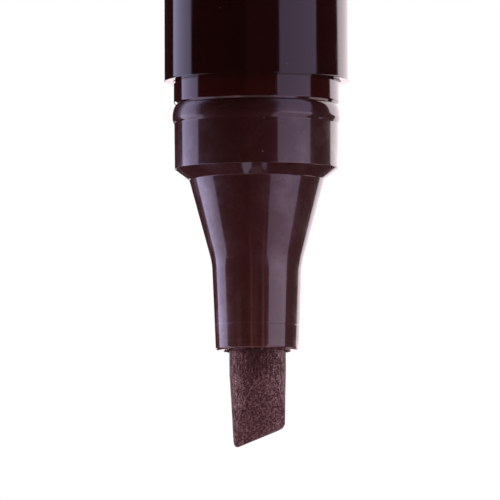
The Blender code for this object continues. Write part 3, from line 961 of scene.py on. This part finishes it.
def weld(piece, other):
    """Joins another solid to a piece, so that they are one moulding."""
    take(piece)
    add_modifier("BOOLEAN", operation="UNION", solver="EXACT", object=other)
    bpy.data.objects.remove(other)
    bpy.ops.object.shade_smooth_by_angle(angle=SMOOTH_ANGLE)


fins = {"tail_fin": (fin_length, TAIL_FIN_WIDTH), "cross_fin": (TAIL_FIN_WIDTH, fin_length)}
for name, size in fins.items():
    half = Vector((*size, 0.0)) / 2
    fin = block(name, upward * fin_bottom - half, upward * fin_top + half)
    add_modifier("BEVEL", width=FINE_EDGE, segments=TAIL_FIN_EDGE_STEPS)
    weld(tail, fin)
tail.data.materials.append(plastic("tail_polish", BARREL_COLOUR, TAIL_ROUGHNESS, smear=0.08))
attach(tail, "marker")
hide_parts("tail_plug")

# Cap
# The barrel's plastic again, moulded in one with its pocket clip. A ring inside the mouth snaps
# over the bead of the section when the cap is closed, and a step farther down carries the liner.
CAP_CROWN = 0.0014
CAP_ROUND = 0.0005
CAP_DRAFT = 0.0001
CAP_BORE_GAP = 0.00008          # round the bead of the section
CAP_LEAD = 0.00015
CAP_LEDGE = 0.00045
CAP_FLANGE_GAP = 0.0002         # under the liner's flange
SNAP_FROM_MOUTH = 0.0017
SNAP_LENGTH = 0.0007
SNAP_GAP = 0.00013              # round the tail
CAP_ROUGHNESS = 0.08
LINER_FLANGE = 0.0010

_, cap_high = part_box("cap_shell")
liner_low, liner_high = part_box("cap_liner")
cap_radius = cap_high.y
mouth = cap_high.z
cap_bore = bead_radius + CAP_BORE_GAP
snap_radius = tail_radius + SNAP_GAP
snap_ramp = cap_bore - snap_radius
snap_top = mouth - SNAP_FROM_MOUTH
snap_bottom = snap_top - SNAP_LENGTH
ledge = liner_high.z - LINER_FLANGE - CAP_FLANGE_GAP
cap = turned("cap_with_clip", [
    (MIDDLE_DISC, CAP_CROWN),
    (cap_bore - CAP_LEDGE, CAP_CROWN, SOFT_EDGE),
    (cap_bore - CAP_LEDGE, ledge, FINE_EDGE),
    (cap_bore, ledge, FINE_EDGE),
    (cap_bore, snap_bottom),
    (snap_radius, snap_bottom + snap_ramp, FINE_EDGE),
    (snap_radius, snap_top - snap_ramp, FINE_EDGE),
    (cap_bore, snap_top),
    (cap_bore, mouth - CAP_LEAD),
    (cap_bore + CAP_LEAD, mouth, FINE_EDGE),
    (cap_radius, mouth, BARREL_EDGE),
    (cap_radius - CAP_DRAFT, 0.0, CAP_ROUND),
    (MIDDLE_DISC, 0.0),
])

CLIP_WIDTH = 0.0046
CLIP_THICKNESS = 0.0011
CLIP_BITE = 0.0004              # into the cap's wall
CLIP_ROOT_BOTTOM = 0.0026
CLIP_ROOT_TOP = 0.0072
CLIP_TOP = 0.0326
CLIP_SHOULDER = 0.0023
CLIP_ROOT_ROUND = 0.00055
CLIP_TONGUE_ROUND = 0.0016
CLIP_ARC_STEPS = 10
CLIP_EDGE = 0.00022
CLIP_EDGE_STEPS = 3
CLIP_EDGE_ANGLE = math.radians(50)
CLIP_TIP_GAP = 0.0003           # between the bump and the cap's wall
CLIP_BUMP_LENGTH = 0.0046
CLIP_BUMP_CUTS = 12

clip_outside = cap_high.x
clip_inside = clip_outside - CLIP_THICKNESS
clip_half = CLIP_WIDTH / 2
clip = block("clip", (cap_radius - CAP_DRAFT - CLIP_BITE, -clip_half, CLIP_ROOT_BOTTOM),
             (clip_outside, clip_half, CLIP_ROOT_TOP))


def cut_across(point, normal):
    """Cuts new edges along a plane and takes nothing off."""
    bpy.ops.mesh.select_all(action="SELECT")
    bpy.ops.mesh.bisect(plane_co=point, plane_no=normal)


def near(value, other):
    return abs(value - other) < MERGE


def round_off(piece, wanted, size):
    """Rounds off the edges of a piece whose two ends are wanted."""
    ends = piece.data.vertices
    pick(piece, "EDGE", lambda edge: wanted(*(ends[end].co for end in edge.vertices)))
    bpy.ops.mesh.bevel(offset=size, segments=CLIP_ARC_STEPS, affect="EDGES")


def on_tongue_tip(a, b):
    return near(a.z, CLIP_TOP) and near(b.z, CLIP_TOP) and near(a.y, b.y)


def on_shoulder(a, b):
    return all(near(end.z, CLIP_ROOT_BOTTOM) and near(end.x, clip_outside) for end in (a, b))


def on_root(a, b):
    return all(near(end.z, CLIP_ROOT_TOP) and near(end.x, clip_inside) for end in (a, b))


bpy.ops.object.mode_set(mode="EDIT")
cut_across((clip_inside, 0.0, 0.0), (1.0, 0.0, 0.0))
pick(clip, "FACE", lambda face: face.normal.z > FACING and face.center.x > clip_inside)
tongue = (0.0, 0.0, CLIP_TOP - CLIP_ROOT_TOP)
bpy.ops.mesh.extrude_region_move(TRANSFORM_OT_translate={"value": tongue})
round_off(clip, on_tongue_tip, CLIP_TONGUE_ROUND)
round_off(clip, on_shoulder, CLIP_SHOULDER)
round_off(clip, on_root, CLIP_ROOT_ROUND)
bump_depth = clip_inside - cap_radius - CLIP_TIP_GAP
bump_start = CLIP_TOP - CLIP_BUMP_LENGTH
for cut in range(1, CLIP_BUMP_CUTS):
    height = bump_start + CLIP_BUMP_LENGTH * cut / CLIP_BUMP_CUTS
    cut_across((0.0, 0.0, height), (0.0, 0.0, 1.0))
bpy.ops.object.mode_set(mode="OBJECT")
for vertex in clip.data.vertices:
    if near(vertex.co.x, clip_inside) and vertex.co.z > bump_start:
        share = (vertex.co.z - bump_start) / CLIP_BUMP_LENGTH
        vertex.co.x -= bump_depth * math.sin(math.pi * share) ** 2
add_modifier("BEVEL", width=CLIP_EDGE, segments=CLIP_EDGE_STEPS, limit_method="ANGLE",
             angle_limit=CLIP_EDGE_ANGLE)
weld(cap, clip)
cap.data.materials.append(plastic("cap_polish", BARREL_COLOUR, CAP_ROUGHNESS, smear=0.07))
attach(cap, "cap")
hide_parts("cap_shell")

# Cap liner
# An inner cup of soft natural plastic, pressed into the cap. Its lip seals on the cone of the
# section when the cap is closed and keeps the nib from drying. Ink has marked its floor.
LINER_WALL = 0.0009
LINER_LEAD = 0.0003
LINER_BORE = 0.0049
LINER_COLOUR = (0.74, 0.73, 0.70, 1.0)
LINER_INK = (0.10, 0.07, 0.09, 1.0)
LINER_INK_HEIGHT = 0.0027       # above the floor
LINER_INK_SCALE = 420.0
LINER_ROUGHNESS = 0.34

liner_floor = liner_low.z + LINER_WALL
liner_radius = LINER_BORE + LINER_WALL
flange_radius = liner_high.x
flange_bottom = liner_high.z - LINER_FLANGE
liner = turned("seal_cup", [
    (MIDDLE_DISC, liner_floor),
    (LINER_BORE, liner_floor, SOFT_EDGE),
    (LINER_BORE, liner_high.z - LINER_LEAD, FINE_EDGE),
    (LINER_BORE + LINER_LEAD, liner_high.z, FINE_EDGE),
    (flange_radius, liner_high.z, FINE_EDGE),
    (flange_radius, flange_bottom, FINE_EDGE),
    (liner_radius, flange_bottom, FINE_EDGE),
    (liner_radius, liner_low.z, SOFT_EDGE),
    (MIDDLE_DISC, liner_low.z),
])


def inked_floor(tree):
    low = portion(tree, axes(tree)["Z"], liner_floor + LINER_INK_HEIGHT, liner_floor)
    marked = sums(tree, "MULTIPLY", low, noise(tree, placed(tree), LINER_INK_SCALE, detail=4.0))
    return mixed(tree, marked, LINER_COLOUR, LINER_INK)


liner.data.materials.append(
    plastic("soft_liner", inked_floor, LINER_ROUGHNESS, smear=0.12, dust=0.0))
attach(liner, "cap")
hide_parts("cap_liner")

# Stage
# A pale floor, tall softboxes beside and behind the marker that its plastic mirrors as clear bands,
# strips above and behind it, and even white fill lamps that light its colours. The room between
# them is dim and warm.
FLOOR_AROUND = 96
FLOOR_RADIUS = 0.6
FLOOR_FADE = 0.25               # from this radius outwards the floor turns into the white backdrop
FLOOR_COLOUR = (0.86, 0.86, 0.86, 1.0)
FLOOR_ROUGHNESS = 0.7
ROOM = (0.05, 0.016, 0.018, 1.0)
WHITE = (1.0, 1.0, 1.0, 1.0)
LAMP_DISTANCE = 0.7
LAMP_BOTTOM = -1.6
LAMP_TOP = 1.4
FOOT_MARK = -0.45               # height at which the bead's shoulder mirrors a lamp
BOTTOM_MARK = 0.02              # the barrel
LOW_MARK = 0.07                 # the seat
MIDDLE_MARK = 0.14              # the nose
HIGH_MARK = 0.43                # the cone
ANGLE_MARKS = (FOOT_MARK, BOTTOM_MARK, MIDDLE_MARK, HIGH_MARK)
LEFT_TONES = ((0.47, 0.43, 0.69, 1.0), (0.67, 0.60, 0.92, 1.0), (0.48, 0.42, 0.63, 1.0))
RIGHT_TONES = ((0.50, 0.41, 0.64, 1.0), (0.95, 0.73, 1.0, 1.0), (0.49, 0.36, 0.55, 1.0))
BACK_TONES = ((1.0, 0.88, 0.92, 1.0), (0.88, 0.77, 0.81, 1.0), (0.88, 0.77, 0.81, 1.0))
WALL_TONES = ((1.0, 0.25, 0.30, 1.0), (1.0, 0.40, 0.45, 1.0), (1.0, 0.45, 0.50, 1.0))
FILL_TONES = (WHITE, WHITE, WHITE)
COOL = (0.80, 0.68, 1.0, 1.0)
WARM = (1.0, 0.70, 0.74, 1.0)

bpy.ops.object.select_all(action="DESELECT")
bpy.ops.mesh.primitive_circle_add(vertices=FLOOR_AROUND, radius=FLOOR_RADIUS, fill_type="NGON")
floor = bpy.context.object
floor.name = "floor"
pale, tree, matte = new_material("pale_floor")
feed(tree, matte, {"Base Color": FLOOR_COLOUR, "Roughness": FLOOR_ROUGHNESS})
outwards = node(tree, "VectorMath", {"operation": "LENGTH"}, Vector=placed(tree)).outputs["Value"]
faded = portion(tree, outwards, FLOOR_FADE, FLOOR_RADIUS)
faded = sums(tree, "MULTIPLY", faded, node(tree, "LightPath").outputs["Is Camera Ray"])
backdrop = node(tree, "Emission", Color=WHITE, Strength=1.0)
white_out = node(tree, "MixShader", Fac=faded)
feed(tree, white_out, {1: matte.outputs["BSDF"], 2: backdrop.outputs["Emission"]})
feed(tree, tree.nodes["Material Output"], {"Surface": white_out.outputs["Shader"]})
floor.data.materials.append(pale)
floor.visible_glossy = False


def aimed(turn, rise=0.0):
    """A direction from the marker: degrees from the camera's side to the right, and upwards."""
    turn, rise = math.radians(turn), math.radians(rise)
    aside = to_camera * math.cos(turn) + to_right * math.sin(turn)
    return aside * math.cos(rise) + upward * math.sin(rise)


def covering(degrees):
    """The size of a lamp that covers an angle, seen from the marker."""
    return 2 * LAMP_DISTANCE * math.tan(math.radians(degrees / 2))


def area_lamp(name, place, outward, width, length, radiance, mirrored):
    """A rectangular lamp that faces the marker. It is mirrored, or it lights the colours."""
    bpy.ops.object.light_add(type="AREA", location=place)
    lamp = bpy.context.object
    lamp.name = name
    lamp.rotation_euler = (-outward).to_track_quat("-Z", "Y").to_euler()
    lamp.data.shape = "RECTANGLE"
    lamp.data.size = width
    lamp.data.size_y = length
    lamp.data.energy = radiance * math.pi * width * length
    lamp.visible_camera = False
    lamp.visible_glossy = mirrored
    lamp.visible_diffuse = not mirrored
    return lamp


def softbox(name, starts, ends, radiance, tones, soft=(1.5, 1.5), tops=(LAMP_TOP, LAMP_TOP),
            top_soft=0.01, fade=1.0, mirrored=True):
    """A tall lamp beside the marker, between two angles from the camera's side to the right.

    The angles hold at the four angle marks, and the tones at the low, middle and high mark. The
    softness in degrees and the tops belong to the two sides. The light fades between them.
    """
    first = min(starts) - soft[0]
    last = max(ends) + soft[1]
    middle = (first + last) / 2
    outward = aimed(middle)
    place = outward * LAMP_DISTANCE + upward * (LAMP_BOTTOM + LAMP_TOP) / 2
    length = LAMP_TOP - LAMP_BOTTOM
    lamp = area_lamp(name, place, outward, covering(last - first), length, radiance, mirrored)
    lamp.data.use_nodes = True
    tree = lamp.data.node_tree
    spot = node(tree, "NewGeometry").outputs["Parametric"]
    across_lamp, up_lamp, _ = node(tree, "SeparateXYZ", Vector=spot).outputs
    aside = sums(tree, "SUBTRACT", 0.5, across_lamp)
    aside = sums(tree, "MULTIPLY", aside, lamp.data.size / LAMP_DISTANCE)
    angle = sums(tree, "ARCTANGENT", aside)
    angle = sums(tree, "MULTIPLY_ADD", angle, math.degrees(1.0), middle)
    height = sums(tree, "MULTIPLY_ADD", up_lamp, lamp.data.size_y, LAMP_BOTTOM)

    steps = zip(ANGLE_MARKS, ANGLE_MARKS[1:])
    climbs = [portion(tree, height, low, high) for low, high in steps]
    sides = []
    for angles in (starts, ends):
        side = angles[0]
        for climb, low, high in zip(climbs, angles, angles[1:]):
            side = sums(tree, "MULTIPLY_ADD", climb, high - low, side)
        sides.append(side)
    along = portion(tree, angle, first, last)
    top = sums(tree, "MULTIPLY_ADD", along, tops[1] - tops[0], tops[0])
    strength = sums(tree, "MULTIPLY_ADD", along, fade - 1.0, 1.0)
    limits = ((angle, sides[0], soft[0]), (sides[1], angle, soft[1]), (top, height, top_soft))
    for high, low, softness in limits:
        inside = portion(tree, sums(tree, "SUBTRACT", high, low), -softness, softness)
        strength = sums(tree, "MULTIPLY", strength, inside)

    rise = portion(tree, height, LOW_MARK, HIGH_MARK)
    middle_rise = (MIDDLE_MARK - LOW_MARK) / (HIGH_MARK - LOW_MARK)
    tone = ramp(tree, rise, list(zip((0.0, middle_rise, 1.0), tones)))
    feed(tree, tree.nodes["Emission"], {"Color": tone, "Strength": strength})


def upright(angle):
    """A side of a softbox that has the same angle at all marks."""
    return (angle,) * len(ANGLE_MARKS)


softbox("left_softbox", starts=(-135.6, -128, -129, -127), ends=(-100.5, -89.7, -91, -82),
        radiance=4.434, tones=LEFT_TONES, soft=(1.2, 1.2), tops=(0.50, 0.50), top_soft=0.06,
        fade=0.5493)
softbox("right_softbox", starts=(33, 27.5, 30, 24.2), ends=(90, 79, 80.5, 82.5),
        radiance=1.7, tones=RIGHT_TONES, soft=(0.8, 0.8), fade=1.338)
softbox("back_softbox", starts=(118.7, 118.7, 133.5, 140.5), ends=upright(182.5),
        radiance=3.4, tones=BACK_TONES, soft=(1.5, 0.8), tops=(0.46, 0.30), fade=0.52)
softbox("dim_wall", starts=upright(-14), ends=upright(125),
        radiance=0.08, tones=WALL_TONES, soft=(2.0, 4.0))
softbox("left_fill", starts=upright(-115), ends=upright(-50),
        radiance=3.0, tones=FILL_TONES, tops=(0.6, 0.6), mirrored=False)
softbox("right_fill", starts=upright(50), ends=upright(115),
        radiance=2.4, tones=FILL_TONES, tops=(0.6, 0.6), mirrored=False)


def strip(name, turn, low, high, width, radiance, colour, mirrored=True):
    """A plain lamp round the nose: its turn from the camera's side and two heights, in degrees."""
    outward = aimed(turn, (low + high) / 2)
    place = upward * nose_end + outward * LAMP_DISTANCE
    lamp = area_lamp(name, place, outward, width, covering(high - low), radiance, mirrored)
    lamp.data.color = colour[:3]


strip("top_fill", 0, 45, 85, 1.0, 2.6, WHITE, mirrored=False)
strips = {                      # turn, low and high end, width, radiance and colour
    "top_softbox": (0, 62, 86, 0.6, 0.6, WARM),
    "left_high_softbox": (-109, 27, 56, 0.38, 1.8, COOL),
    "right_high_softbox": (121, 26, 46, 0.34, 1.8, WARM),
    "left_key": (-64, 54, 68, 0.30, 1.0, WARM),
    "right_key": (64, 54, 68, 0.30, 0.8, COOL),
    "left_back_strip": (-163, 3.5, 7, 0.122, 7.0, WHITE),
    "left_top_strip": (-153, 74, 81, 0.054, 1.2, COOL),
    "right_top_strip": (159, 74, 81, 0.030, 0.7, COOL),
}
for name, values in strips.items():
    strip(name, *values)

world = bpy.data.worlds.new("dim_room")
bpy.context.scene.world = world
world.use_nodes = True
tree = world.node_tree
seen = mixed(tree, node(tree, "LightPath").outputs["Is Camera Ray"], ROOM, WHITE)
feed(tree, tree.nodes["Background"], {"Color": seen})
bpy.context.scene.view_settings.view_transform = "Standard"
